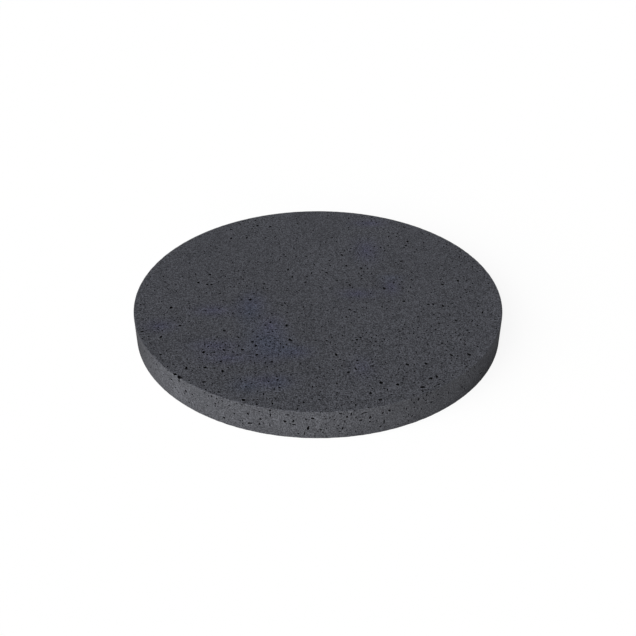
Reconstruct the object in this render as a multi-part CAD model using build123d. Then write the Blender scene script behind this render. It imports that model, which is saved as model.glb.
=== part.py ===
from build123d import *
import math
import os

# A round concrete paving slab, cast in one piece. The origin is the centre of the bed face, +Z is
# up through the walking face, and -Y is the side that the photograph shows. Millimetres.

# Driving dimensions of the slab
slab_diameter = 500.0
slab_thickness = 40.0
top_arris = 0.8  # flat at 45 degrees where the rim meets the walking face
bed_arris = 1.0

# Air voids: a bubble held against the mould leaves a pit with a steep wall over a dished floor
mouth_corners = 8  # flat facets round a pit, enough for pits of a few millimetres
wall_depth_share = 0.3  # depth of the wall as a share of the mouth's width
floor_depth_share = 0.2  # further depth of the dished floor, as the same share
wall_lean = 10.0  # degrees that the wall leans in
floor_lean = 55.0  # degrees that the dished floor leans in
proud = 0.5  # how far a cut starts outside the surface, so that it breaks through cleanly
golden_angle = 137.508  # degrees between neighbours where voids are scattered evenly

# Voids in the walking face that the photograph shows. Each has its place as shares of the slab's
# radius along X and Y, the length and width of its mouth, and the turn of its length from X
walking_face_voids = [
    # Front left quarter
    (-0.369, -0.054, 4.6, 3.6, 90),
    (-0.790, -0.132, 4.8, 3.6, 100),
    (-0.249, -0.271, 4.4, 2.8, 90),
    (-0.720, -0.303, 3.6, 3.0, 45),
    (-0.164, -0.300, 4.8, 3.0, 95),
    (-0.485, -0.349, 3.6, 3.2, 0),
    (-0.908, -0.355, 3.8, 3.2, 0),
    (-0.804, -0.404, 5.0, 2.6, 90),
    (-0.141, -0.431, 6.2, 3.2, -60),
    (-0.333, -0.447, 3.8, 3.4, 0),
    (-0.314, -0.480, 4.6, 2.8, 90),
    (-0.379, -0.516, 3.6, 3.2, 30),
    (-0.472, -0.518, 4.4, 2.6, -50),
    (-0.571, -0.537, 4.4, 3.2, 110),
    (-0.783, -0.556, 4.2, 2.6, -30),
    (-0.305, -0.558, 3.8, 3.4, 60),
    (-0.478, -0.612, 3.8, 2.8, 45),
    (-0.228, -0.616, 3.6, 3.0, 0),
    (-0.550, -0.663, 4.2, 3.2, 90),
    (-0.642, -0.667, 4.8, 2.4, 90),
    (-0.463, -0.692, 4.8, 3.0, 90),
    (-0.544, -0.776, 5.0, 2.6, 0),
    (-0.346, -0.911, 4.8, 3.4, -70),
    # Front right quarter
    (0.467, -0.071, 3.8, 3.0, 0),
    (0.597, -0.099, 3.8, 3.4, 20),
    (0.623, -0.098, 4.0, 2.4, -60),
    (0.674, -0.116, 4.4, 3.2, 100),
    (0.172, -0.152, 5.0, 2.8, -40),
    (0.196, -0.174, 3.8, 2.6, -60),
    (0.199, -0.429, 3.6, 3.0, 90),
    (0.752, -0.556, 5.2, 3.2, -45),
    (0.091, -0.558, 5.4, 2.4, -80),
    (0.663, -0.561, 4.4, 3.0, -50),
    (0.530, -0.631, 4.4, 3.2, -65),
    (0.439, -0.638, 4.4, 3.0, -50),
    (0.265, -0.650, 4.8, 2.2, 0),
    (0.184, -0.674, 5.6, 2.0, -70),
    (0.148, -0.700, 3.6, 3.2, 0),
    (0.571, -0.733, 4.4, 2.6, -75),
    (0.542, -0.748, 3.8, 3.6, 0),
    (0.301, -0.782, 4.4, 3.8, -30),
    (0.379, -0.796, 4.2, 3.4, 60),
    (0.495, -0.816, 5.2, 3.2, 5),
    (0.247, -0.862, 3.8, 2.8, -80),
    (0.290, -0.910, 5.0, 2.8, 0),
    # Back left quarter
    (-0.620, 0.104, 3.6, 3.2, 90),
    (-0.596, 0.104, 3.6, 3.0, 0),
    (-0.672, 0.124, 4.0, 3.6, 60),
    (-0.616, 0.211, 3.6, 3.0, 0),
    (-0.172, 0.265, 4.0, 3.0, 90),
    (-0.529, 0.637, 4.6, 3.2, 95),
    (-0.435, 0.643, 4.8, 3.2, 90),
    (-0.539, 0.751, 3.8, 3.4, 0),
    (-0.298, 0.788, 4.6, 3.6, 80),
    (-0.377, 0.800, 4.4, 3.0, 90),
    # Back right quarter
    (0.368, 0.063, 4.4, 3.6, -60),
    (0.178, 0.096, 4.8, 2.6, -70),
    (0.696, 0.103, 3.8, 3.2, 0),
    (0.789, 0.143, 5.0, 3.4, 90),
    (0.050, 0.231, 4.6, 3.0, -45),
    (0.026, 0.258, 4.0, 2.6, -50),
    (0.249, 0.281, 4.2, 3.2, 90),
    (0.165, 0.308, 4.2, 3.2, 90),
    (0.486, 0.359, 4.0, 3.0, 30),
    (0.141, 0.433, 5.0, 2.8, -70),
    (0.529, 0.549, 3.8, 3.2, 80),
    (0.543, 0.597, 5.4, 3.0, 90),
    (0.539, 0.780, 4.6, 2.8, 0),
    # Two that broke through the top arris at the front left
    (-0.690, -0.716, 4.4, 3.0, -44),
    (-0.665, -0.739, 6.0, 3.4, -42),
]

# Voids in the rim that the photograph shows. Each has its azimuth in degrees, where -90 is the
# front, its depth under the walking face as a share of the thickness, the length and width of its
# mouth, and the turn of its length from level
rim_voids = [
    (-146.0, 0.12, 4.0, 1.8, 15),
    (-135.5, 0.28, 4.0, 2.2, 30),
    (-129.5, 0.37, 4.2, 3.0, 40),
    (-120.0, 0.09, 3.6, 2.6, 35),
    (-118.9, 0.32, 3.2, 2.4, 0),
    (-116.4, 0.76, 3.4, 2.4, 0),
    (-109.0, 0.34, 3.6, 3.0, 60),
    (-108.6, 0.69, 7.0, 2.4, 20),
    (-102.7, 0.06, 3.4, 2.6, 90),
    (-102.7, 0.22, 5.0, 2.0, 85),
    (-98.8, 0.40, 4.4, 2.8, -15),
    (-98.0, 0.15, 6.0, 2.0, 4),
    (-96.5, 0.36, 4.2, 2.6, 80),
    (-96.3, 0.50, 4.6, 2.0, 0),
    (-93.1, 0.27, 3.2, 2.6, 90),
    (-92.6, 0.60, 6.4, 2.8, 75),
    (-91.4, 0.23, 4.2, 3.0, -10),
    (-89.2, 0.66, 3.0, 2.4, 20),
    (-84.0, 0.08, 4.4, 2.0, 0),
    (-83.4, 0.63, 4.2, 2.6, 80),
    (-82.3, 0.22, 3.2, 3.0, 0),
    (-81.2, 0.12, 4.8, 1.8, 80),
    (-78.6, 0.40, 4.2, 2.4, -10),
    (-77.8, 0.15, 8.0, 2.0, 6),
    (-76.0, 0.35, 5.0, 2.8, 80),
    (-76.0, 0.51, 3.4, 2.4, 0),
    (-72.0, 0.62, 7.6, 1.8, 88),
    (-70.6, 0.23, 3.6, 3.0, 0),
    (-61.9, 0.13, 4.2, 2.8, 70),
    (-57.4, 0.44, 5.2, 2.2, -20),
    (-55.2, 0.26, 3.4, 2.4, 0),
]

# Voids in the rim where the photograph doesn't reach
hidden_rim_start = -24.0  # azimuth where they begin, and they run on to the shown stretch
hidden_rim_sweep = 222.0
hidden_rim_void_count = 28
hidden_rim_margin_share = 0.12  # clear band under each arris, as a share of the thickness

# Voids in the bed face, scattered evenly between an inner and an outer share of the radius
bed_void_count = 30
bed_void_inner_share = 0.10
bed_void_outer_share = 0.95

# Mouths of the scattered voids, as length, width and turn, taken in order round and round
scattered_mouths = [
    (3.6, 3.0, 15),
    (5.0, 2.4, 80),
    (4.2, 3.4, -30),
    (3.2, 2.8, 60),
    (4.8, 3.0, -70),
    (5.8, 2.2, 5),
    (3.8, 3.2, 40),
]

slab_radius = slab_diameter / 2


def slab_body():
    """The plain disc: a half section with its two arrises, turned about Z."""
    half_section = make_face(
        Polyline(
            (0, 0),
            (slab_radius - bed_arris, 0),
            (slab_radius, bed_arris),
            (slab_radius, slab_thickness - top_arris),
            (slab_radius - top_arris, slab_thickness),
            (0, slab_thickness),
            close=True,
        )
    )
    return revolve(Plane.XZ * half_section, Axis.Z)


def oblong(stretch, width, height):
    """Corners of a polygon of that width across its flats, drawn out along X, at a height."""
    corner_reach = width / 2 / math.cos(math.pi / mouth_corners)
    corners = []
    for i in range(mouth_corners):
        angle = 2 * math.pi * (i + 0.5) / mouth_corners
        x, y = corner_reach * math.cos(angle), corner_reach * math.sin(angle)
        corners.append((x + math.copysign(stretch, x), y, height))
    return corners


def bubble(length, width):
    """The pit of one void, under the XY plane: a steep wall, then a dished floor that narrows faster."""
    wall_depth = wall_depth_share * width
    floor_depth = floor_depth_share * width
    wall_slope = 2 * math.tan(math.radians(wall_lean))
    floor_slope = 2 * math.tan(math.radians(floor_lean))
    waist_width = width - wall_slope * wall_depth
    levels = [
        (width + wall_slope * proud, proud),
        (waist_width, -wall_depth),
        (waist_width - floor_slope * floor_depth, -wall_depth - floor_depth),
    ]
    rings = [oblong((length - width) / 2, across, height) for across, height in levels]
    outlines = [rings[0], rings[-1]]
    for upper, lower in zip(rings, rings[1:]):
        for i in range(mouth_corners):
            outlines.append([upper[i - 1], upper[i], lower[i], lower[i - 1]])
    faces = [make_face(Polyline(*outline, close=True)) for outline in outlines]
    return Solid(Shell(faces))


def walking_face_bubbles():
    """Bubbles in the top face, at the places the photograph shows."""
    for x, y, length, width, turn in walking_face_voids:
        place = Pos(x * slab_radius, y * slab_radius, slab_thickness) * Rot(0, 0, turn)
        yield place * bubble(length, width)


def rim_place(azimuth, depth_share, turn):
    """A frame on the rim with its Z axis pointing out and its X axis level, then turned."""
    angle = math.radians(azimuth)
    outward = Vector(math.cos(angle), math.sin(angle), 0)
    level = Vector(-math.sin(angle), math.cos(angle), 0)
    height = slab_thickness * (1 - depth_share)
    foot = outward * slab_radius + Vector(0, 0, height)
    return Plane(foot, x_dir=level, z_dir=outward).location * Rot(0, 0, turn)


def rim_bubbles():
    """Bubbles in the rim: the shown ones, then scattered ones round the hidden stretch."""
    for azimuth, depth_share, length, width, turn in rim_voids:
        yield rim_place(azimuth, depth_share, turn) * bubble(length, width)
    step = hidden_rim_sweep / hidden_rim_void_count
    band = 1 - 2 * hidden_rim_margin_share
    for i in range(hidden_rim_void_count):
        length, width, turn = scattered_mouths[i % len(scattered_mouths)]
        azimuth = hidden_rim_start + step * (i + 0.5)
        depth_share = hidden_rim_margin_share + band * ((i * golden_angle / 360) % 1)
        yield rim_place(azimuth, depth_share, turn) * bubble(length, width)


def bed_bubbles():
    """Bubbles in the bed face on a golden-angle spiral, which spreads them evenly."""
    inner, outer = bed_void_inner_share**2, bed_void_outer_share**2
    for i in range(bed_void_count):
        length, width, turn = scattered_mouths[i % len(scattered_mouths)]
        share = math.sqrt(inner + (outer - inner) * i / (bed_void_count - 1))
        angle = math.radians(i * golden_angle)
        x, y = slab_radius * share * math.cos(angle), slab_radius * share * math.sin(angle)
        yield Pos(x, y, 0) * Rot(180, 0, turn) * bubble(length, width)


def paving_slab():
    """The cast slab with its air voids."""
    bubbles = [*walking_face_bubbles(), *rim_bubbles(), *bed_bubbles()]
    return slab_body() - bubbles


os.makedirs("parts", exist_ok=True)
export_step(paving_slab(), "parts/paving_slab.step")
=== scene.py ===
import math

import bpy
import numpy as np
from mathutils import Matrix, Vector
from mathutils.geometry import delaunay_2d_cdt


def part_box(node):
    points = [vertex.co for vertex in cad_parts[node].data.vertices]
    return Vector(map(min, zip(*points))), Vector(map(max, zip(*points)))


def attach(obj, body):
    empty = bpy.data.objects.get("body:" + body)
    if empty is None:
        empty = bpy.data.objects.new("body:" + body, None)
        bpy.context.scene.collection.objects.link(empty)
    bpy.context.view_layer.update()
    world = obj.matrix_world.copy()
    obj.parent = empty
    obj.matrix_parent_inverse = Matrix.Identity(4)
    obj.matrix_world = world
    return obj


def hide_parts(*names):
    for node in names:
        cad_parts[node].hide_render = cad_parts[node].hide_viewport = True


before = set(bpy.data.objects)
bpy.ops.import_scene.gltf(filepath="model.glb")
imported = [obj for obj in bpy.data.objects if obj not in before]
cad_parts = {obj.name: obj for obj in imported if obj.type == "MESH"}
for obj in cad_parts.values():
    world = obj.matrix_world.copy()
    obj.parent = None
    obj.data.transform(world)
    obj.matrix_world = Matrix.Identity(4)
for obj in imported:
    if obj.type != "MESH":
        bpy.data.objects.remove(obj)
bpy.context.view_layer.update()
mm = 0.001
tiny = 1e-9  # keeps a division by a length away from zero

# The slab's own sizes are read from the solid, so the looks stay on it when it changes
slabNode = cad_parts["paving_slab"]
lowCorner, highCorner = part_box("paving_slab")

# What a user would change on the slab: arrises, edge loops and the seed of everything scattered
slab = {
    "name": "cast_slab",
    "seed": 417,
    "topArris": 0.8 * mm,  # rounding where the rim meets the walking face
    "bedArris": 1.0 * mm,
    "seamHeight": 2.2 * mm,  # level line on the rim where the upper and lower halves of the skin meet
    "arrisSteps": 4,
    "arrisColumns": 600,  # points round the slab on each loop of the arris
    "rimColumns": 420,
    "rimRowGap": 3.4 * mm,
    "supportGap": 0.7 * mm,  # loops either side of an arris, which keep the flats flat
    "wearDepth": 0.22 * mm,  # most that the arrises are worn in
    "wearLevel": 0.4,  # share of that depth which is worn on average
    "wearSwing": 0.16,  # how far each wave moves that share
    "wearWaves": (25, 170),  # fewest and most waves round the slab
    "wearCount": 14,
    "sharpAngle": 38.0,  # edges of the mesh that turn more than this stay crisp
    "inset": 0.01 * mm,  # how far the skin keeps inside the solid's round outline
}
slab["radius"] = min(highCorner.x - lowCorner.x, highCorner.y - lowCorner.y) / 2 - slab["inset"]
slab["height"] = highCorner.z - lowCorner.z

# Air voids. The large ones come from the solid and the shown ones from the lists below. The rest are
# scattered: each family has its range of mouth sizes, the steepness of its size curve, and how many
# there are on each part of the skin
voids = {
    "families": [
        {"size": (2.5 * mm, 3.6 * mm), "steep": 1.5, "top": 50, "rim": 18, "bed": 50},
        {"size": (1.7 * mm, 2.4 * mm), "steep": 1.6, "top": 520, "rim": 120, "bed": 90},
        {"size": (0.9 * mm, 1.7 * mm), "steep": 1.2, "top": 1500, "rim": 360, "bed": 170},
    ],
    "tries": {"crowded": 9, "even": 4},  # candidates for each void that is scattered
    "longest": 1.9,  # most that a scattered mouth is drawn out
    "longRarity": 2.5,  # the higher, the fewer are drawn out far
    "depth": (0.8, 1.4),  # shallowest and deepest, as shares of the mouth's width
    "raggedness": 0.10,  # how far the first wave usually moves the edge of a mouth
    "mostRagged": 0.18,  # most that one wave moves it
    "edgeRoom": 1.6,  # room kept for a ragged edge, as a multiple of the raggedness
    "floorShift": 0.16,  # most that a floor's middle is off centre, as a share of the mouth
    "floorLean": 0.35,  # most that a floor leans, as a share of its depth
    "land": 0.25 * mm,  # skin always left between two voids
    "swell": {"face": 1.24, "rim": 1.04},  # how much wider a crumbled lip makes a mouth of the solid
    "shownSize": {"face": (0.98, 0.90), "rim": (1.2, 1.25)},  # shares of the length and width listed
    "chips": 70,  # small knocks along the top arris
    "chipSize": (0.9 * mm, 2.4 * mm),
    "chipSteep": 2.0,
    "shade": {"top": (0.93, 0.99), "rim": (0.66, 0.88), "bed": (0.60, 0.90)},  # painted shade inside each void: how much its colour is darkened
    "rimBlack": 1.8 * mm,  # width from which a void of the rim is as dark as its shade says
    "rimFaint": 0.3,  # least share of its shade that a narrower one keeps
    "lipHighlight": 0.40,  # painted highlight: how much paler the edge of a mouth is painted than the land round it
    "lipSides": 8,  # points round the outside of a lip
    "lipFrom": 12,  # fewest sides of a mouth that has a lip
    "lipReach": (0.67, 0.14 * mm),  # where a lip ends: a share of the mouth's size, and a margin
    "clear": (0.66, 0.12 * mm),  # the same for where plain points are dropped
    "seamRoom": 0.3 * mm,  # how far the points of a lip keep from the seam
}

# How closely the solid's own voids are read
reading = {
    "weld": 0.001 * mm,  # corners nearer than this are one
    "level": 0.01 * mm,  # a corner this near to a flat face lies on it
    "pit": 0.1 * mm,  # a triangle that reaches deeper than this belongs to a void
    "mouth": 0.05 * mm,  # a void's corners that lie less deep than this are its mouth
}

# Smaller voids of the walking face where the photograph shows them, too small to be in the solid: x, y,
# length and width of the mouth in millimetres, and its turn in degrees
shownVoids = [
    (-201, -43.5, 3.4, 3, 0), (-186, -57.7, 3.2, 2.8, 0), (-58.6, -88.7, 3.3, 3, 0),
    (-100.3, -139.4, 3.2, 3, 0), (140.6, -87.2, 3.4, 3, 0), (186.5, -152, 3, 2.8, 0),
    (-121.7, 204.5, 3.4, 2.8, 90), (-150.8, 128.1, 3.4, 2.6, 90), (-99, 113, 3.4, 2.8, 90),
    (-86.4, 107.7, 3, 2.4, 90), (-80.5, 107.7, 3, 2.2, 90), (-193.8, 107, 3.2, 2.6, 30),
    (-192.9, 88.9, 3.2, 2.6, 90), (-93.4, 71.2, 4, 2, 90), (-181.1, 66.7, 3, 2.6, 40),
    (-117, 20.2, 3.4, 2.8, 0), (-61.6, 215, 3.4, 2.4, 90), (-84.7, 219.9, 3.4, 2, 100),
    (-81.8, 210, 3, 2.2, 90), (-54.4, 104, 3, 2.2, 110), (85.9, 229, 4.6, 3, 90),
    (115.8, 173.9, 3.2, 2.4, 90), (170.9, 171.4, 3.2, 2.4, 90), (158.2, 158.8, 3, 2.2, 90),
    (57.6, 156.2, 3, 2.2, 90), (75.8, 141.1, 3, 2.2, 90), (78.3, 121.7, 3.2, 2.4, 90),
    (83.7, 113.6, 3, 2.2, 90), (76.9, 102.9, 3.2, 2.4, 90), (101.9, 102.7, 3.4, 2.6, 90),
    (58.9, 90, 3.4, 2.6, 90), (54.2, 86.9, 3, 2.4, 90), (42.9, 48.5, 3, 2.6, 90),
    (130.5, 52.4, 3.2, 2.4, 90), (201.2, 104, 3.2, 2.4, 90), (226.4, 89.7, 3, 2.2, 90),
    (196.6, 72.9, 3, 2.4, 90), (188.9, 66.5, 3, 2.4, 90), (185.7, 60.3, 3, 2.4, 90),
    (215.2, 68.4, 3, 2.2, 90), (200.8, 46, 3.2, 2.6, 90), (175.6, 20.4, 3, 2.6, 90),
    (162.1, 13.1, 4.4, 2, 90), (156.6, 4.7, 3.2, 2.6, 90), (103.9, 15.2, 3, 2.4, 90),
    (16.5, 14.5, 3.2, 2.6, 90), (212.5, 19.9, 3.2, 2.4, 90), (-189.5, -131, 3.2, 2.6, 90),
    (-144.5, -129, 3.6, 2.6, 70), (-177, -133, 3, 2.2, 60), (-147, -145.5, 3, 2.4, 80),
    (-138, -139, 4, 2.2, -70), (-195, -144.5, 3.4, 2.2, -50), (-161.5, -149, 3.6, 2, -60),
    (-176.5, -159.5, 3, 2.2, -45), (-183.5, -163.5, 3.4, 2.4, 90), (-164, -162, 3, 2.2, -45),
    (-144.5, -166, 3, 2.2, 80), (-152.5, -171.5, 3.4, 2.2, -70), (-128, -187.5, 3, 2.4, 60),
    (-154, -191.5, 2.8, 2.4, 60), (-152, -196.5, 3.2, 2.2, -45), (-125.5, -197, 3, 2.4, -45),
    (-131, -125.5, 3, 2.4, 0), (-132, -208.5, 3.6, 2, 80), (-126.5, -213, 3.4, 2, 90),
    (-212.5, -18, 3.4, 2.8, 70), (-239.5, -25.5, 3.4, 2.4, 80), (-217, -9, 5, 1.8, -80),
    (-175.5, -18, 3, 2.2, 60), (-174.5, -23, 3.6, 2.4, 80), (-162, -6, 4.6, 1.8, 90),
    (-162, -12.5, 4.2, 2, -85), (-129, -15.5, 3.4, 2.8, 80), (-172.5, -35, 3.2, 2.6, 80),
    (-211, -34.5, 3.2, 2.4, 80), (-133, -35, 3.4, 2.6, 70), (-204.5, -49.5, 3.2, 2, -60),
    (-131.5, -50, 4, 2.4, -20), (-215.5, -66.5, 3.2, 2.8, 80), (-189, -64, 3.4, 2.8, 80),
    (-181.5, -61.5, 3, 2.4, -60), (-196.5, -70.5, 3.2, 2.8, 0), (-202, -73.5, 3, 2.4, 60),
    (-207.5, -79.5, 3.6, 2.4, -70), (-227, -82.5, 3.2, 2.6, 70), (-230, -61, 3.4, 2.2, -60),
    (-222, -87, 3.4, 2.2, 0), (-211, -89, 3.2, 2.8, 0), (-201.5, -87.5, 4, 2, -80),
    (-205.5, -91.5, 3, 2.4, 0), (-217, -100.5, 3.2, 2.4, 80), (-224.5, -104.5, 3.6, 2.4, 80),
    (-169, -66, 3.4, 2.2, -60), (-157, -81.5, 3.4, 2.6, -45), (-167, -93.5, 3, 2.4, 80),
    (-129, -101.5, 3.6, 2.4, 80), (-131.5, -107, 3, 2.6, 0), (-129, -114, 3, 2.4, 0),
    (-135, -118, 3.4, 2.4, 80), (-138.5, -122, 3.8, 2.8, 80), (-128, -122, 3.2, 2.2, 60),
    (-213, -114.5, 4.6, 2, -50), (-106, -134, 4.2, 2, -65), (-85, -132, 3.2, 2.6, 90),
    (-84, -144, 3, 2.4, 90), (-66, -145, 3, 2.6, 90), (-57, -127, 3, 2.4, 90),
    (-47, -133, 3, 2.6, 90), (-49, -139, 3, 2.6, 90), (-32.5, -137, 3, 2.4, 0),
    (-29, -145, 3, 2.4, 90), (-124.5, -155.5, 3.2, 2.8, 0), (-78, -156.5, 4, 2.2, 90),
    (-64.5, -156, 4.6, 2, -80), (-62, -163.5, 3.6, 2.6, 90), (-53.5, -162.5, 3.4, 3, 0),
    (-21.5, -158.5, 3.4, 2.6, 90), (-1.5, -160, 2.8, 2.6, 0), (-12.5, -166, 2.8, 2.4, 0),
    (-109.5, -166, 3.2, 2.6, 90), (-93, -168, 3, 2.4, 0), (-95.5, -174, 2.8, 2.4, 90),
    (-76, -176.5, 4, 2, -65), (-112.5, -182, 3, 2.4, 90), (-49.5, -184, 2.8, 2.6, 0),
    (-32.5, -180.5, 4, 2.4, -75), (-120, -186.5, 2.8, 2.4, 0), (-102, -187, 3.2, 3, 0),
    (-93, -188.5, 4, 2, 90), (-87, -191.5, 2.6, 2.4, 0), (-91, -194, 2.8, 2.6, 0),
    (-79, -197.5, 3, 2.6, 0), (-59, -193, 5.4, 2, -65), (-48.5, -190, 4.2, 3.4, 45),
    (-33.5, -191.5, 2.8, 2.4, 0), (-85.5, -203, 3, 2.8, 0), (-96.5, -204, 3, 2.4, 0),
    (-51.5, -207.5, 3.2, 2.6, 90), (-45.5, -205, 4.4, 2.8, -45), (-67.5, -203.5, 3, 2.4, 0),
    (-71, -212.5, 3.2, 3, 0), (-64, -217, 3.8, 2.6, -75), (-6.5, -203, 4.4, 2.4, -80),
    (-2, -202.5, 2.6, 2.4, 0), (-60, -224, 2.8, 2.6, 0), (-56, -225.5, 2.6, 2.4, 90),
    (-49, -225.5, 3.2, 3, 0), (-74.5, -227.5, 3, 2.8, 0), (-70.5, -227, 2.8, 2.2, 90),
    (-70.5, -235.5, 4, 2.4, -60), (-52.5, -234.5, 3.8, 2.8, 90), (-53, -229.5, 3, 2.2, 90),
    (-16.5, -232.5, 3.8, 2.6, 90), (-22, -238, 3, 2.8, 0), (-42.5, -243.5, 2.8, 2.6, 0),
    (-23.5, -244, 4, 2.2, 75), (-1.5, -186, 3.4, 2.6, 0), (-108, -5.5, 3.6, 2, 90),
    (-104, -13, 3.2, 3, 90), (-85.5, -18, 2.6, 2.4, 0), (-45, -22, 4.8, 2.8, -60),
    (-115, -23, 3.4, 2.4, -70), (-107, -26.5, 3.4, 2.6, 90), (-111, -30, 2.8, 2.4, 0),
    (-41.5, -28.5, 4, 2.2, 90), (-19.5, -31.5, 4.4, 2.4, 90), (-21.5, -47, 2.8, 2.8, 0),
    (-41, -45, 3.8, 2.4, 60), (-61.5, -47.5, 3.6, 3, 90), (-77, -53, 4.4, 2.6, 90),
    (-66, -58.5, 3.8, 2.6, 90), (-119.5, -46.5, 4.6, 2, 90), (-102.5, -45.5, 3.8, 2.6, 90),
    (-91.5, -48, 3.8, 2.4, 90), (-93.5, -59, 2.8, 2.4, 0), (-102, -64, 2.8, 2.6, 0),
    (-83, -65.5, 4.6, 2.4, -60), (-69, -75, 3.8, 2.4, 90), (-6.5, -61.5, 4, 2.4, 0),
    (-18, -74, 3.6, 2.4, 90), (-54.5, -85, 3.4, 3, 0), (-64, -91.5, 5, 2.4, 0),
    (-84, -89.5, 3.8, 2.4, 90), (-94.5, -96.5, 3.2, 2.4, 90), (-112.5, -95.5, 3.2, 2.6, -40),
    (-102, -101.5, 4.4, 2.8, -65), (-77.5, -101, 4.4, 3, 45), (-72.5, -106.5, 4, 2.6, 90),
    (-66, -110, 3.4, 2.4, -70), (-60.5, -112, 4.2, 2.6, -60), (-62, -103.5, 3.4, 2.6, 90),
    (-55, -104.5, 3.8, 2.4, 0), (-55.5, -116, 3.4, 2.6, 90), (-47.5, -115.5, 3.4, 2.6, 90),
    (-40, -118, 3.6, 2.4, 90), (-43.5, -123, 4.2, 2.4, 90), (-61.5, -121.5, 3.4, 2.6, 90),
    (-66, -119, 4.4, 2, 90), (-121, -113, 3.6, 2.6, -60), (-117, -118.5, 3.2, 2.6, 90),
    (-123, -124, 3, 2.8, 0), (-100, -120, 4.6, 2.6, 90), (-31.5, -95, 3.2, 2.4, 90),
    (-18, -90, 5.2, 2.6, -45), (-2.5, -108.5, 3.8, 2.4, 70), (-11.5, -82, 2.8, 2.6, 0),
    (-6.5, -93.5, 2.8, 2.6, 0), (48.5, -151.5, 4, 3.6, 0), (49, -157.5, 3.2, 2.8, 0),
    (32.5, -151.5, 3.2, 2.8, 0), (28, -149.5, 2.8, 2.6, 0), (18, -152, 3.2, 2.4, 0),
    (22.5, -152, 3, 2.8, 90), (66.5, -149, 3.4, 2.6, 80), (67.5, -154, 3, 2.8, 0),
    (83, -155, 3.6, 2.4, 90), (76.5, -164, 3, 2.8, 0), (79, -160, 3.2, 1.8, 90),
    (80, -168, 2.8, 2, 80), (29, -161.5, 3.8, 2.8, -60), (39, -163, 3.6, 2, 80),
    (18, -170, 3.2, 3, 0), (2, -165, 3.8, 2.8, -60), (11, -176.5, 3.4, 2.2, 90),
    (7.5, -183, 4.4, 2.2, -60), (51.5, -180, 3, 2.8, 0), (55.5, -178, 2.8, 2.6, 0),
    (59.5, -186, 3.4, 2, 80), (70.5, -186, 3, 2.4, -60), (46, -135.5, 3, 2.6, 0),
    (47.5, -128.5, 3, 2.6, 0), (39, -139.5, 2.8, 2.6, 0), (71.5, -144, 3.6, 2.4, -60),
    (101.5, -134, 4.2, 2.4, -60), (109, -131.5, 4, 1.6, 80), (123, -134, 3.4, 2.4, 80),
    (118, -160, 3.2, 2.8, 70), (101.5, -160, 3, 2.2, 70), (105, -172, 2.8, 2.6, 0),
    (107, -176, 3, 2.6, 0), (94.5, -180, 3.2, 2.8, 0), (98.5, -168.5, 3, 2.4, 90),
    (117, -174, 3, 2.2, 80), (102.5, -188, 3.2, 2.6, -60), (100, -195.5, 3.6, 3.2, 0),
    (115, -195.5, 3.4, 3, 0), (82, -209, 3.8, 2.6, 80), (86, -218, 3.4, 3.2, 0),
    (61.5, -201, 3, 2.4, 0), (64, -206.5, 3.4, 2.2, 80), (22.5, -197, 3.4, 2.8, 0),
    (40, -213.5, 3.4, 2.2, 80), (34.5, -222.5, 3.6, 2.6, 90), (2, -227.5, 4.6, 2.6, -45),
    (39, -231, 3.2, 2.6, 80), (35, -233, 2.8, 2.4, 0), (27, -237, 3.2, 2.8, 0),
    (43.5, -237, 4, 2.2, 90), (58, -241.5, 3, 2.6, 0), (123, -211.5, 4.4, 2.4, -60),
    (112, -218.5, 3.4, 2.2, 80), (47, -20.5, 3.6, 2.8, 0), (45.5, -8, 3.4, 2.4, -60),
    (65.5, -11, 3.2, 2.6, 0), (66.5, -20.5, 4.2, 2.2, -30), (76.5, -13.5, 3.2, 2.6, 0),
    (96.5, -18, 5, 2.2, 0), (21.5, -32.5, 3.4, 2.8, 80), (12.5, -40.5, 3, 2.6, 0),
    (16.5, -45.5, 3, 2.4, 0), (65, -34, 4, 2.8, 85), (59.5, -32.5, 3.4, 2.2, 80),
    (52, -37, 3.2, 2.8, -60), (92.5, -35.5, 3.6, 2.8, 80), (86.5, -30.5, 4.2, 2.4, -60),
    (110, -39, 3.2, 2.6, 0), (99.5, -49.5, 3.2, 2.4, 80), (37.5, -55.5, 4.4, 2.6, 85),
    (42.5, -52, 2.8, 2.4, 0), (54.5, -56.5, 3.2, 2.2, 80), (14, -66.5, 3, 2.4, 80),
    (44, -69, 3.6, 2.4, 85), (5, -77.5, 3.6, 2.6, 70), (31.5, -80, 3.2, 2.4, 80),
    (73, -82.5, 3.2, 2.8, 0), (113, -73.5, 3.6, 2.2, 90), (104, -84, 3, 2.6, 80),
    (110, -83.5, 4.2, 2.8, 90), (105.5, -89.5, 4.6, 2.6, 0), (117.5, -80, 3.2, 2.6, 0),
    (124, -82.5, 3.2, 2.4, 80), (123, -93.5, 3.8, 2.6, 80), (118, -93, 3, 2.2, 80),
    (57.5, -93, 3.4, 2.8, -60), (62.5, -92, 4, 2.4, -60), (16.5, -96, 3, 2.6, 0),
    (17.5, -102, 3.8, 2.8, -45), (11, -109.5, 3.8, 3, 60), (11, -118, 3.4, 2.6, 0),
    (22, -118, 3, 2.2, 80), (31.5, -98, 4, 2.2, 80), (44, -109, 3.2, 2.8, 0),
    (48.5, -102.5, 3, 2.8, 0), (54.5, -102.5, 3.8, 3, 0), (68.5, -102.5, 3.6, 2.6, 85),
    (75, -98, 3.4, 2.4, 80), (48, -114.5, 4.2, 2, -55), (67, -112, 4.6, 2.6, -55),
    (62, -111, 2.6, 2.4, 0), (73, -112, 4.2, 2.4, 60), (51.5, -122.5, 3.4, 2.8, -60),
    (84.5, -106, 4.4, 2.8, 90), (81.5, -111.5, 4, 2.2, 85), (105, -118, 3.4, 2.8, 0),
    (113, -112.5, 3.4, 2.2, 85), (113.5, -104, 3.2, 2.2, 80), (107, -103.5, 3.8, 2, 85),
    (70.5, -120, 3.6, 2.6, 0), (139, -136, 3.4, 2.6, 85), (136, -141.5, 3.2, 2, 0),
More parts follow.
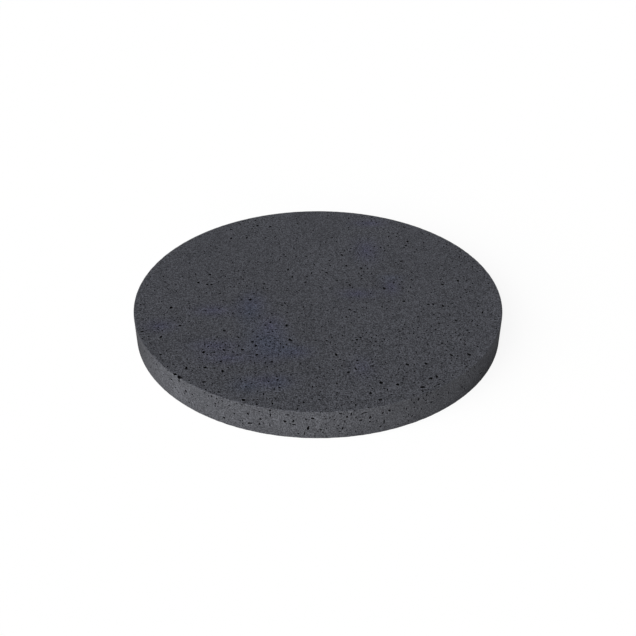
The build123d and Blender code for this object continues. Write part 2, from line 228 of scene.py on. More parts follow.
    (136.5, -148.5, 2.8, 2.4, 0), (130, -162.5, 3.2, 2.8, 0), (139, -164, 2.8, 2.4, 0),
    (130.5, -170.5, 3.4, 3, 0), (126, -182.5, 3, 2.6, 0), (146, -189, 3.4, 2.2, 80),
    (152, -157, 3.4, 2.4, 85), (157, -152, 3, 2.4, 0), (164.5, -151.5, 2.8, 2.6, 0),
    (162.5, -157, 3.2, 2.8, 0), (165.5, -146, 2.8, 2.4, 80), (173.5, -141.5, 3.8, 2.4, 80),
    (171.5, -148, 3.2, 2.2, 50), (161, -131, 3.4, 2.6, 0), (170.5, -126.5, 3.4, 2.2, 85),
    (180, -159, 3.6, 2.4, -75), (181.5, -164, 3.2, 2.8, 0), (162.5, -181.5, 3.4, 2.2, 80),
    (138, -203, 3, 2.2, 80), (127, -209, 3, 2.6, 0), (138, -43, 3.6, 3.2, 0),
    (141.5, -36.5, 3.4, 2.2, 80), (132.5, -54.5, 4.2, 2.6, 85), (154, -50, 3.6, 3, 0),
    (158.5, -56.5, 3.6, 3, 0), (162, -46.5, 3.4, 2.4, 75), (175, -51, 5, 2.4, 85),
    (181.5, -64, 4.2, 3, 0), (202.5, -65, 5, 2.8, 65), (197.5, -67, 3, 2.2, 80),
    (158.5, -71, 3.8, 2.8, 60), (131.5, -66.5, 3.6, 2.8, 0), (130, -80, 3.8, 3.2, 0),
    (137.5, -83.5, 2.8, 2.4, 80), (137, -94, 3, 2.6, 80), (146.5, -91.5, 3.2, 2.6, 0),
    (152.5, -85, 4, 2.6, 80), (161, -98.5, 3.6, 2.6, 80), (170.5, -98.5, 3.6, 2.6, 85),
    (181, -98, 3.2, 2.6, 0), (177.5, -91, 3.4, 2.4, 80), (186.5, -97, 4, 2.4, 80),
    (193, -86.5, 3.8, 2.6, 80), (195, -91.5, 3.8, 2.4, 75), (182, -106.5, 3.8, 2.4, 80),
    (186, -117.5, 3.6, 2.6, 80), (164.5, -111.5, 3.4, 2.2, 70), (157, -115, 4.4, 2.8, -70),
    (161, -117.5, 2.4, 2.2, 0), (153, -118.5, 2.8, 2.2, 80), (139, -118, 3, 2.4, 80),
    (201.5, -122.5, 4, 3, -50), (231.5, -82.5, 3.2, 2.4, 80), (233, -61.5, 3.4, 2.4, 80),
    (230.5, -48, 3.6, 2.6, 85), (219.5, -44.5, 5.4, 2.8, 80), (216, -30, 3.4, 2.6, 30),
    (227, -39.5, 3.6, 2.2, 60), (201.5, -44.5, 3.4, 2.8, 0), (190.5, -5, 3, 2.4, 0),
    (195.5, -7, 4.2, 2.6, 85), (182, -22.5, 3.4, 2.4, 50), (133, -2.5, 3.4, 2.6, 0),
    (140, -31, 3.4, 2.4, 0), (216.5, -21.5, 3.4, 2.2, 80), (226.5, -8, 3.4, 2.2, 80),
    (-198, 114, 3.2, 2.6, 80), (-146, 115.5, 3.2, 2.6, 80), (-134.5, 107, 3, 2.6, 80),
    (-127, 92.5, 4.2, 2.4, -65), (-139, 63.5, 3.8, 2.4, -80), (-158, 59, 3.2, 2.8, 0),
    (-174.5, 53.5, 4.8, 2.4, -75), (-137.5, 46, 3.6, 3.4, 0), (-131.5, 47.5, 4, 2.4, -70),
    (-126, 42.5, 3.4, 3, 0), (-140, 34, 3, 2.8, 0), (-219.5, 46.5, 4.2, 2.6, -75),
    (-215, 32.5, 5.4, 2, -80), (-198.5, 26, 3.6, 2.4, -70), (-209, 15.5, 3, 2.8, 0),
    (-223.5, 16, 3, 2.6, 0), (-226, 10.5, 3.2, 2.6, 80), (-196, 9, 4.4, 2.6, -65),
    (-154, 4, 3.8, 2.4, 80), (-146, 3.5, 3.6, 2.4, 85), (-135, 2.5, 3.8, 3.2, 0),
    (-238, 47, 3, 2.6, 0), (-160, 103.5, 3.8, 2, -60), (-169, 118, 4.6, 1.8, -80),
    (-168.5, 112, 4.2, 1.8, -80), (-187, 85, 5, 2, 90), (-202.5, 67.5, 3.2, 2.4, 0),
    (-67, 113.5, 3.4, 2.6, -60), (-56.5, 122.5, 3.8, 2.4, -70), (-50, 110, 3.8, 3, 80),
    (-47.5, 104.5, 4, 2.4, 85), (-69, 104.5, 3.2, 2.8, 80), (-32, 103.5, 6.5, 2.2, 85),
    (-17, 104, 3.8, 3.2, 0), (-56.5, 95.5, 3.8, 2.4, 85), (-87, 80, 3.8, 2.8, 80),
    (-17.5, 81.5, 3.4, 2.6, 80), (-5.5, 80, 4.4, 2.6, 85), (-120, 62, 3.6, 2.6, 80),
    (-114, 63, 3.8, 2.6, 80), (-107, 64, 3.2, 3, 0), (-105, 58.5, 3.4, 3, 0),
    (-54.5, 61, 3.4, 2.8, 0), (-47, 62, 3.6, 2.6, 80), (-9, 57, 5.5, 2.4, 85),
    (-16, 47.5, 4, 3.4, 0), (-36.5, 46.5, 6.5, 2.6, 80), (-17.5, 32, 4.8, 3.8, 60),
    (-109, 45.5, 4.6, 2.6, -75), (-113.5, 39, 3.6, 3.2, 0), (-110.5, 28.5, 3.8, 2.2, 80),
    (-58.5, 36.5, 3.6, 3.2, 0), (-88.5, 28.5, 3.2, 2.8, 0), (-75.5, 28, 3.8, 2.6, 85),
    (-122, 21, 3, 2.4, 80), (-99, 21.5, 4.2, 2.6, 80), (-98.5, 5.5, 3.6, 3.2, 0),
    (-83.5, 11.5, 3.6, 3.2, 80), (-76, 16, 4.8, 2.4, -80), (-70.5, 15, 3.4, 2.6, 80),
    (-72, 0.5, 3.6, 2.4, 0), (-42.5, 15.5, 3.6, 2.6, -70), (-29.5, 7, 3, 2.6, 0),
    (-26, 10.5, 3.2, 2.8, 80), (-10.5, 111.5, 4, 3.2, 0), (-141.5, 184.5, 3.2, 2.6, 80),
    (-130, 171.5, 3, 2.6, -60), (-179, 135, 3.2, 2.4, 80), (-161.5, 136, 4.4, 2.2, -80),
    (-154.5, 134.5, 3.2, 2.2, 80), (-134, 148.5, 3.4, 2.8, 0), (-110, 211, 3.2, 2.6, 80),
    (-114, 196.5, 3.6, 2.4, -75), (-102.5, 191.5, 4, 2.4, -80), (-94, 181.5, 3, 2.6, 0),
    (-96.5, 177.5, 3.2, 2.8, -60), (-106.5, 176.5, 3.2, 2.6, 0), (-60, 188, 4, 2.4, 80),
    (-34, 223.5, 4.4, 2.4, 85), (-71.5, 228, 3.6, 2.8, 0), (-32, 207.5, 6, 2.2, 85),
    (-19.5, 208.5, 4.2, 3.4, 60), (-7.5, 184.5, 4.8, 2.4, 80), (-10.5, 177.5, 3.2, 2.6, 80),
    (-55, 178.5, 3.4, 2.6, 80), (-37, 175.5, 4.2, 2.2, 85), (-32, 174.5, 3, 2.2, 85),
    (-71.5, 169.5, 3, 2.6, -60), (-65.5, 164, 4.6, 2.6, 85), (-75.5, 165.5, 3, 2.4, 0),
    (-80, 161.5, 4, 2.4, 0), (-83, 156, 3.4, 3, 80), (-120.5, 159, 3.2, 2.2, -60),
    (-32.5, 153.5, 3.2, 2.8, 0), (-42.5, 154, 4.4, 2.4, -50), (-70.5, 146, 3.2, 2.4, 80),
    (-58.5, 142, 3.6, 2.6, -60), (-57.5, 132, 3.8, 2.8, -50), (-36, 128.5, 5, 2.4, -70),
    (33, 115, 3.4, 2.8, -70), (39.5, 120.5, 4.6, 2.4, 85), (47.5, 118.5, 5, 2.8, 80),
    (43.5, 124.5, 3.4, 2.6, 0), (2.5, 111, 3.8, 2.8, 80), (59.5, 113.5, 3.6, 3.2, 0),
    (72, 109, 4, 2.6, 80), (99.5, 121.5, 4.2, 2.8, 85), (17, 92.5, 3.8, 3, 60),
    (17.5, 77.5, 3.8, 2.8, 85), (69, 77.5, 3.8, 3, 80), (71.5, 69.5, 3.8, 2.4, 80),
    (65, 61.5, 3.8, 2.6, 80), (58.5, 56.5, 3.8, 2.8, 80), (61.5, 49.5, 5, 2.8, 85),
    (76.5, 56, 4, 2.6, 80), (29, 62.5, 3.8, 2.8, 80), (11, 69, 3.8, 2.4, 85),
    (3.5, 58.5, 3.4, 2.6, 0), (8.5, 43, 3.8, 3, -60), (12.5, 39, 3.2, 2.4, -60),
    (27, 36.5, 4.6, 2.6, 80), (40.5, 31, 4.2, 2.8, 60), (4, 19.5, 4.6, 2.6, -65),
    (48, 17.5, 3.8, 2.6, 60), (72.5, 2.5, 4.4, 2.6, 85), (106.5, 31, 4, 3.2, 80),
    (114.5, 26.5, 4.6, 2.4, 85), (118, 34, 3.6, 2.8, 60), (111.5, 40, 3.4, 2.8, 0),
    (115.5, 44.5, 3.4, 2.4, 80), (118, 19, 3.6, 2.8, 0), (121.5, 70, 4.4, 2.4, 0),
    (116.5, 80.5, 3.8, 2.8, 80), (113.5, 86, 4.2, 2.6, 80), (144, 117.5, 5, 2.8, 80),
    (147.5, 124.5, 4.6, 2.2, 85), (156.5, 84, 3.6, 3, 0), (179.5, 78, 3.8, 3.2, 60),
    (196.5, 90, 3.6, 3, 0), (210, 89.5, 3.4, 3, 0), (220.5, 90.5, 3.6, 3, 0),
    (211.5, 119, 3.2, 2.6, 0), (208.5, 103, 3.8, 2.4, 80), (216.5, 103, 3.8, 2.6, 80),
    (207, 81.5, 3.6, 3, 0), (223.5, 74, 3.8, 2.6, 85), (202, 76.5, 3.8, 2.2, 80),
    (233, 64.5, 3.6, 3, 0), (228, 61, 3.4, 2.8, 0), (181, 63.5, 3.4, 2.4, 60),
    (134, 58.5, 3.8, 2.4, 80), (141, 47, 3.6, 3.2, 0), (132.5, 38, 4.6, 3, -50),
    (172.5, 38, 4.2, 2.6, 60), (196.5, 42.5, 2.8, 2.4, 85), (207, 46.5, 4.8, 2.4, -75),
    (204, 54, 3.4, 2.6, 0), (210, 37, 3.6, 2.8, 60), (217, 29, 4.4, 2.4, 70),
    (239, 29, 3.8, 3, 60), (236.5, 46.5, 3, 2.4, 60), (239, 42, 3.2, 2.4, 60),
    (129, 18.5, 3.8, 3.2, 60), (125.5, 8.5, 3.8, 2.6, 80), (161.5, 8.5, 2.6, 2.2, 80),
    (204, 12.5, 3.4, 2.6, 60), (205.5, 5.5, 3.8, 2.6, 60), (209.5, 7.5, 3, 2.2, 60),
    (213.5, 10, 3.2, 2.4, 60), (21.5, 238.5, 3.4, 2.6, 0), (16, 233.5, 4.4, 2.6, 85),
    (48.5, 224.5, 4, 2.6, 80), (70, 230, 4.6, 2.6, 80), (70.5, 214, 4.8, 2.4, 85),
    (71.5, 204, 3.6, 2.8, 60), (85, 218.5, 5.4, 2, 85), (92, 211.5, 4, 2.4, -60),
    (45, 208.5, 4, 2.4, 80), (47.5, 193, 4.2, 2.8, 80), (32.5, 179.5, 4, 2.8, -60),
    (101.5, 188, 3.8, 3, 60), (92, 191, 3.2, 2.8, 0), (116.5, 193.5, 3.6, 2.4, 80),
    (81, 178, 3.2, 2.6, -60), (108.5, 165.5, 4.8, 2.6, 85), (120, 165, 4.8, 2.6, 85),
    (122.5, 174, 4, 2.2, 85), (64, 157, 4, 3, 80), (53.5, 164, 3.6, 2.8, 60),
    (70.5, 159.5, 3.6, 2.2, 0), (76.5, 159.5, 3.6, 2.2, 0), (21.5, 161.5, 4.6, 2.6, 60),
    (28.5, 149.5, 4.4, 2.6, 80), (11.5, 147.5, 4.2, 2.4, 80), (4, 138.5, 4.6, 2.4, 85),
    (49, 140, 3.6, 2.8, 0), (64.5, 147, 3.6, 2.8, 60), (49, 128, 3.8, 3.4, 0),
    (57, 129.5, 3.8, 3, 60), (84.5, 134, 4, 2.8, 80), (94, 131, 4.6, 3, 60),
    (105.5, 136, 3.8, 3.4, 0), (194, 140.5, 3.8, 3.6, 0), (189, 133, 4.6, 3, 75),
    (160, 145.5, 5, 2.4, 85), (159, 134, 5.6, 2, 85), (157, 126.5, 3.8, 2.4, 75),
    (129, 131.5, 3.8, 3.2, 0), (136, 142.5, 2.8, 2.2, 80), (131, 154, 2.8, 2.4, 0),
    (170, 166.5, 3.2, 2.2, 80),
]

# Smaller voids of the rim: azimuth in degrees, how far under the walking face, length and width of the
# mouth in millimetres, and the turn of its length from level
shownRimVoids = [
    (-144.9, 10, 3, 1.6, 60), (-143, 6.4, 3.2, 2, 30), (-134, 20, 2.8, 2, 20),
    (-130.2, 20.5, 3, 1.5, 70), (-128.7, 30.5, 3.2, 1.6, 20), (-127, 14.7, 3, 2, 20),
    (-122.3, 2.9, 2.2, 1.6, 40), (-121.7, 20.7, 2.4, 2, 0), (-121, 5.7, 2.6, 1.6, 80),
    (-118.3, 4.3, 2.6, 1.8, 60), (-117.9, 9.3, 2.4, 1.6, 80), (-116.6, 5, 3, 1.8, -10),
    (-114.5, 8.9, 2.6, 2, 70), (-113.1, 18.6, 2.4, 2, 90), (-112.2, 2.9, 2.2, 1.4, 30),
    (-110.7, 2.4, 2.6, 1.8, 20), (-110.7, 30.4, 2.4, 1.8, 60), (-105.8, 25.5, 3.4, 2.2, 70),
    (-105.7, 6.9, 2.2, 1.6, 0), (-105.5, 17.9, 3, 2.6, 0), (-102.9, 24, 4.6, 1.4, 88),
    (-97.4, 18.6, 2.2, 1.8, 0), (-96.4, 8.2, 2.6, 1.4, 0), (-95.2, 33, 3.2, 1.4, 0),
    (-93.6, 32.6, 4, 1.4, 85), (-90, 28.5, 2.2, 1.6, 60), (-88.6, 30.2, 2.4, 1.8, 0),
    (-88, 9.3, 1.8, 1.4, 0), (-88, 17.9, 1.8, 1.4, 0), (-87.7, 24.6, 2.2, 1.6, 80),
    (-85.7, 18.6, 2.2, 1.6, 0), (-84.9, 25, 2, 1.4, 0), (-84.6, 21, 2.2, 1.8, 0),
    (-84.2, 29.8, 2.4, 1.6, 0), (-82.9, 15.7, 3.8, 1.6, 90), (-73, 31, 3, 2.2, 0),
    (-72.5, 10.7, 3, 2.6, 0), (-64.7, 23.6, 2.2, 1.4, 0), (-64.2, 3.1, 2.6, 1.8, 60),
    (-63.6, 27.4, 3.2, 1.8, -10), (-63.2, 8.2, 3.4, 2, -20), (-63, 16, 2.8, 1.6, 0),
    (-60.6, 22, 2.8, 1.6, 85), (-60.2, 6.4, 2.4, 1.8, 0), (-59.3, 2.9, 3.2, 2, 85),
    (-59.3, 11.1, 3.2, 1.8, 0), (-59.2, 15.4, 2.2, 1.8, 0), (-57.9, 2.6, 3.4, 1.8, 0),
    (-56.8, 12, 2.8, 1.4, 60), (-55.2, 2.6, 2.4, 1.6, 40), (-51.2, 15.7, 3.4, 1.4, 85),
    (-45.3, 20.7, 3.4, 1.6, 80), (-44, 26.4, 3.4, 1.8, 0), (-42.9, 3, 3.4, 1.8, 0),
    (-42.7, 8.9, 3, 1.6, -10), (-39.7, 3.6, 3.4, 2, 85), (-35, 26, 5, 1.8, 0),
]

# Where the photograph shows the small voids crowding: middle in x and y and spread in millimetres, and
# how much denser
crowds = [
    (-60, -115, 24, 2.2),
    (-130, -120, 18, 2.0),
    (-212, -80, 20, 2.0),
    (-120, -165, 28, 1.6),
    (70, 120, 26, 1.2),
    (125, -90, 24, 1.6),
    (67, -107, 16, 1.8),
    (85, -180, 45, 1.8),
    (205, 80, 28, 1.2),
]
crowding = {
    "front": 0.60,  # how much denser at the front than in the middle
    "most": 4.0,  # highest density
}

# Rings of a void from its mouth down, above the middle of its floor: share of the mouth's reach, share
# of the depth. The key is how many sides the mouth has, and below is the longest mouth that has that many
ringShapes = {
    16: [(1.0, 0.0), (1.03, 0.08), (0.94, 0.72)],
    12: [(1.0, 0.0), (0.97, 0.12)],
    8: [(1.0, 0.0), (0.94, 0.18)],
    6: [(1.0, 0.0), (0.90, 0.20)],
}
sidesUpTo = {6: 1.5 * mm, 8: 2.5 * mm, 12: 3.6 * mm, 16: 20 * mm}


def arrisWear(angle):
    # How far the arris is worn in at each azimuth: an average plus waves of many lengths, held between
    # none and the most
    random = np.random.default_rng(slab["seed"] + 1)
    wear = np.full(np.shape(angle), slab["wearLevel"])
    for wave in random.integers(*slab["wearWaves"], slab["wearCount"]):
        wear += slab["wearSwing"] * np.cos(wave * angle + random.uniform(0, 2 * math.pi))
    return slab["wearDepth"] * np.clip(wear, 0, 1)


def foldSkin(flat, side):
    # The skin opens out flat like a paper pattern: distance from the middle is distance along the half
    # section, over the face, round the arris and along the rim. This folds a flat point back onto the
    # slab. The arris is a quarter turn whose radius the wear reduces, most of all halfway round it
    arris = slab[side + "Arris"]
    faceEnd = slab["radius"] - arris
    reach = np.hypot(flat[..., 0], flat[..., 1])
    turn = np.clip((reach - faceEnd) / arris, 0, math.pi / 2)
    along = np.maximum(reach - faceEnd - arris * math.pi / 2, 0)
    sunk = arris - arrisWear(np.arctan2(flat[..., 1], flat[..., 0])) * np.sin(2 * turn)
    radius = np.minimum(reach, faceEnd) + sunk * np.sin(turn)
    drop = arris - sunk * np.cos(turn) + along
    spread = radius / np.maximum(reach, tiny)
    level = slab["height"] - drop if side == "top" else drop
    return np.stack([flat[..., 0] * spread, flat[..., 1] * spread, level], -1)


def openSkin(points, side):
    # The other way: a point on the slab becomes its place on the flat pattern, without the wear
    arris = slab[side + "Arris"]
    faceEnd = slab["radius"] - arris
    radius = np.hypot(points[..., 0], points[..., 1])
    drop = slab["height"] - points[..., 2] if side == "top" else points[..., 2]
    turn = np.arctan2(np.maximum(radius - faceEnd, 0), np.maximum(arris - drop, 0))
    reach = np.minimum(radius, faceEnd) + arris * turn + np.maximum(drop - arris, 0)
    return points[..., :2] * (reach / np.maximum(radius, tiny))[..., None]


def skinNormal(flat, side):
    # Straight up or down on the face, level on the rim, and turning from one to the other on the arris
    arris = slab[side + "Arris"]
    reach = np.hypot(flat[:, 0], flat[:, 1])
    turn = np.clip((reach - slab["radius"] + arris) / arris, 0, math.pi / 2)
    outward = flat / np.maximum(reach, tiny)[:, None] * np.sin(turn)[:, None]
    up = np.cos(turn) * (1 if side == "top" else -1)
    return np.column_stack([outward, up])


def rimShare(flat, side):
    # 0 on the face, 1 on the rim, and rising from one to the other over the arris
    arris = slab[side + "Arris"]
    reach = np.hypot(flat[:, 0], flat[:, 1])
    return np.clip((reach - slab["radius"] + arris) / (arris * math.pi / 2), 0, 1)


def skinEnds(side):
    # Reach of the flat pattern where the face ends, where the rim starts, and at the seam round the rim
    arris = slab[side + "Arris"]
    faceEnd = slab["radius"] - arris
    rimStart = faceEnd + arris * math.pi / 2
    drop = slab["height"] - slab["seamHeight"] if side == "top" else slab["seamHeight"]
    return faceEnd, rimStart, rimStart + drop - arris


def joinedCorners(triangles, count):
    # One number for all the corners that triangles join: the lowest is passed along until none changes
    group = np.arange(count)
    settled = False
    while not settled:
        passed = group.copy()
        np.minimum.at(passed, triangles.ravel(), np.repeat(group[triangles].min(1), 3))
        settled = (passed == group).all()
        group = passed
    return group


def readSolidVoids(node):
    # Welds the solid's loose triangles and measures how far each corner lies under the nearest of the
    # plain disc's five walls. Every pit is then one group of joined corners, and its mouth gives a row:
    # middle, length, width and turn on the flat pattern
    mesh = node.data
    mesh.calc_loop_triangles()
    loose = np.empty(len(mesh.vertices) * 3)
    mesh.vertices.foreach_get("co", loose)
    triangles = np.empty(len(mesh.loop_triangles) * 3, int)
    mesh.loop_triangles.foreach_get("vertices", triangles)
    keys = np.round(loose.reshape(-1, 3) / reading["weld"]).astype(int)
    points, weld = np.unique(keys, axis=0, return_inverse=True)
    points = points * reading["weld"]
    triangles = weld.ravel()[triangles].reshape(-1, 3)
    radius = np.hypot(points[:, 0], points[:, 1])
    height = slab["height"]
    faceEnds = [radius[np.abs(points[:, 2] - level) < reading["level"]].max() for level in (height, 0)]
    walls = [height - points[:, 2], points[:, 2], radius.max() - radius]
    walls.append((faceEnds[0] + height - radius - points[:, 2]) / math.sqrt(2))
    walls.append((faceEnds[1] - radius + points[:, 2]) / math.sqrt(2))
    under = np.min(walls, axis=0)
    pit = triangles[under[triangles].max(1) > reading["pit"]]
    group = joinedCorners(pit, len(points))
    corners = np.unique(pit)
    mouth = corners[under[corners] < reading["mouth"]]
    found = {"top": [], "bed": []}
    for number in np.unique(group[mouth]):
        rim = points[mouth[group[mouth] == number]]
        side = "top" if rim[:, 2].mean() > slab["seamHeight"] else "bed"
        flat = openSkin(rim, side)
        middle = (flat.max(0) + flat.min(0)) / 2
        axes = np.linalg.eigh(np.cov((flat - middle).T))[1]
        across = (flat - middle) @ axes
        swell = voids["swell"]["rim" if math.hypot(*middle) > slab["radius"] else "face"]
        width, length = (across.max(0) - across.min(0)) * swell
        turn = math.atan2(axes[1, 1], axes[0, 1])
        found[side].append((*middle, length, width, turn))
    return {side: np.array(rows) for side, rows in found.items()}


def crowdLevel(flat):
    # How likely a small void is here: rising evenly towards the front, plus a bell curve for each crowd
    likely = 1 - crowding["front"] * np.clip(flat[:, 1] / slab["radius"], -1, 1)
    for x, y, spread, extra in crowds:
        apart = (flat[:, 0] - x * mm) ** 2 + (flat[:, 1] - y * mm) ** 2
        likely += extra * np.exp(-apart / (2 * (spread * mm) ** 2))
    return likely


def castDarts(count, family, reaches, random, crowded):
    # Candidate voids, more than are wanted: even over a ring of the pattern, or kept as often as they
    # are likely there. Sizes fall off as a power of the size
    tries = count * voids["tries"]["crowded" if crowded else "even"]
    inner, outer = reaches
    reach = np.sqrt(random.uniform(inner**2, outer**2, tries))
    angle = random.uniform(-math.pi, math.pi, tries)
    flat = np.column_stack([reach * np.cos(angle), reach * np.sin(angle)])
    if crowded:
        keep = random.uniform(0, crowding["most"], tries) < crowdLevel(flat)
        flat = flat[keep]
    small, large = family["size"]
    draw = random.uniform(0, 1, len(flat))
    falling = -family["steep"]
    size = (small**falling + draw * (large**falling - small**falling)) ** (1 / falling)
    drawn = 1 + (voids["longest"] - 1) * random.uniform(0, 1, len(flat)) ** voids["longRarity"]
    length, width = size * np.sqrt(drawn), size / np.sqrt(drawn)
    turn = random.uniform(0, math.pi, len(flat))
    return np.column_stack([flat, length, width, turn])


def placeVoids(rows, darts, count):
    # Keeps the darts that leave skin between themselves and every void placed before them
    placed = np.empty((len(rows) + count, 5))
    placed[: len(rows)] = rows
    filled = len(rows)
    swell = 0.5 * (1 + voids["edgeRoom"] * voids["raggedness"])
    for dart in darts:
        if filled == len(placed):
            break
        others = placed[:filled]
        gap = np.hypot(others[:, 0] - dart[0], others[:, 1] - dart[1])
        if (gap > swell * (others[:, 2] + dart[2]) + voids["land"]).all():
            placed[filled] = dart
            filled += 1
    return placed[:filled]


def shownDarts():
    # The shown lists as rows of the flat pattern, where the rim lies outside the walking face. The rim
    # starts where the arris ends, and that is the arris's size under the face
    onFace = np.array(shownVoids, float)
    onFace[:, :4] *= mm
    onFace[:, 2:4] *= voids["shownSize"]["face"]
    onFace[:, 4] = np.radians(onFace[:, 4])
    azimuth, under, length, width, turn = np.array(shownRimVoids, float).T
    azimuth = np.radians(azimuth)
    reach = skinEnds("top")[1] - slab["topArris"] + under * mm
    x, y = reach * np.cos(azimuth), reach * np.sin(azimuth)
    turn = azimuth + math.pi / 2 + np.radians(turn)
    onRim = np.column_stack([x, y, length * mm, width * mm, turn])
    onRim[:, 2:4] *= voids["shownSize"]["rim"]
    return np.concatenate([onFace, onRim])


def scatterVoids(rows, side, random):
    # The shown voids, then the largest families first, each over the face and then over the rim, and
    # last the chips
    faceEnd, rimStart, seam = skinEnds(side)
    if side == "top":
        shown = shownDarts()
        rows = placeVoids(rows, shown, len(shown))
    for family in voids["families"]:
        clear = family["size"][1]
        onFace = castDarts(family[side], family, (0, faceEnd - clear), random, side == "top")
        rows = placeVoids(rows, onFace, family[side])
        if side == "top":
            onRim = castDarts(family["rim"], family, (rimStart + clear, seam - clear), random, False)
            rows = placeVoids(rows, onRim, family["rim"])
    if side == "top":
        family = {"size": voids["chipSize"], "steep": voids["chipSteep"]}
        chips = castDarts(voids["chips"], family, (faceEnd, rimStart), random, False)
        chips[:, 4] = np.arctan2(chips[:, 1], chips[:, 0]) + math.pi / 2
        rows = placeVoids(rows, chips, voids["chips"])
    return rows


def turned(x, y, turn):
    # Points turned about the middle: x cos t - y sin t, and x sin t + y cos t
    return np.stack([x * np.cos(turn) - y * np.sin(turn), x * np.sin(turn) + y * np.cos(turn)], -1)


def voidPatches(rows, side, sides, random):
    # Every void with this many sides at once. Its mouth is an ellipse made ragged by a few waves round
    # it. Rings step in and down from the mouth along the skin's normal, to a floor that leans a little
    count = len(rows)
    around = np.arange(sides) * (2 * math.pi / sides)
    ragged = np.ones((count, sides))
    for wave in (2, 3, 4, 5):
        swing = random.normal(0, voids["raggedness"] / math.sqrt(wave), (count, 1))
        start = random.uniform(0, 2 * math.pi, (count, 1))
        swing = np.clip(swing, -voids["mostRagged"], voids["mostRagged"])
        ragged += swing * np.cos(wave * around + start)
    shape = np.array(ringShapes[sides] + [(0.0, 1.0)])
    share = shape[:, 0][None, :, None]
    x = 0.5 * rows[:, 2][:, None, None] * np.cos(around) * ragged[:, None, :] * share
    y = 0.5 * rows[:, 3][:, None, None] * np.sin(around) * ragged[:, None, :] * share
    shift = random.uniform(-voids["floorShift"], voids["floorShift"], (2, count))
    shift = shift[..., None, None] * (1 - share)
    x = x + shift[0] * rows[:, 2][:, None, None]
    y = y + shift[1] * rows[:, 3][:, None, None]
    flat = turned(x, y, rows[:, 4][:, None, None]) + rows[:, None, None, :2]
    shallow, deep = voids["depth"]
    depth = rows[:, 3] * random.uniform(shallow, deep, count)
    lean = random.uniform(0, voids["floorLean"], (count, 1, 1))
    lean = lean * np.cos(around - random.uniform(0, 2 * math.pi, (count, 1, 1)))
    down = shape[:, 1][None, :, None] * (1 + lean * share)
    inward = -skinNormal(rows[:, :2], side)
    solid = foldSkin(flat, side) + (depth[:, None, None] * down)[..., None] * inward[:, None, None, :]
    onRim = rimShare(rows[:, :2], side)
    # Painted shade inside each void: darkest on the face, and on the rim fainter for narrow voids
    ends = np.where(onRim[:, None] > 0.5, voids["shade"]["rim"], voids["shade"][side])
    shade = random.uniform(ends[:, 0], ends[:, 1])
    shade *= np.where(onRim > 0.5, np.clip(rows[:, 3] / voids["rimBlack"], voids["rimFaint"], 1), 1)
    return flat[:, 0], solid, shade, onRim


def skinPoints(side):
    # Plain points of the flat pattern: loops either side of the arris, over it, and rows down the rim
    faceEnd, rimStart, seam = skinEnds(side)
    loops = [faceEnd - slab["supportGap"]]
    loops += list(np.linspace(faceEnd, rimStart, slab["arrisSteps"] + 1))
    if side == "top":
        loops.append(rimStart + slab["supportGap"])
    points = [ringPoints(reach, slab["arrisColumns"], 0) for reach in loops]
    rows = int((seam - loops[-1]) / slab["rimRowGap"])
    for row, reach in enumerate(np.linspace(loops[-1], seam, rows + 2)[1:-1]):
        points.append(ringPoints(reach, slab["rimColumns"], 0.5 * (row % 2)))
    return np.concatenate(points)


def ringPoints(reach, columns, offset):
    # Even points on a circle of the flat pattern, turned by a share of their spacing
    angle = (np.arange(columns) + offset) * (2 * math.pi / columns)
    return reach * np.column_stack([np.cos(angle), np.sin(angle)])


def lipPoints(rows, side):
    # Plain points on an oval round each of the larger mouths, where the painted highlight of its lip
    # fades out
    around = np.arange(voids["lipSides"]) * (2 * math.pi / voids["lipSides"])
    share, margin = voids["lipReach"]
    reach = share * rows[:, 2:4] + margin
    oval = turned(reach[:, :1] * np.cos(around), reach[:, 1:] * np.sin(around), rows[:, 4:])
    points = (oval + rows[:, None, :2]).reshape(-1, 2)
    return points[np.hypot(points[:, 0], points[:, 1]) < skinEnds(side)[2] - voids["seamRoom"]]


def clearOfVoids(points, rows):
    # Drops the plain points that a void's mouth covers or nearly touches
    keep = np.ones(len(points), bool)
    share, margin = voids["clear"]
    for x, y, length, width, turn in rows:
        dx, dy = points[:, 0] - x, points[:, 1] - y
        along = dx * math.cos(turn) + dy * math.sin(turn)
        across = dy * math.cos(turn) - dx * math.sin(turn)
        apart = (along / (share * length + margin)) ** 2 + (across / (share * width + margin)) ** 2
        keep &= apart > 1
    return points[keep]


def landTriangles(flat, mouthFaces):
    # Triangulates the flat pattern round the mouths, and leaves the mouths out
    placed = [Vector(point) for point in (flat / mm).tolist()]
    wholeHull, touching = 0, 1e-7
    cut = delaunay_2d_cdt(placed, [], mouthFaces, wholeHull, touching, True)
    corners, faces, origins, mouths = cut[0], cut[2], cut[3], cut[5]
    if len(corners) != len(flat):
        raise RuntimeError("the mouths of two voids cross")
    first = np.array([origin[0] for origin in origins])
    land = np.array([face for face, mouth in zip(faces, mouths) if not mouth])
    return first[land]


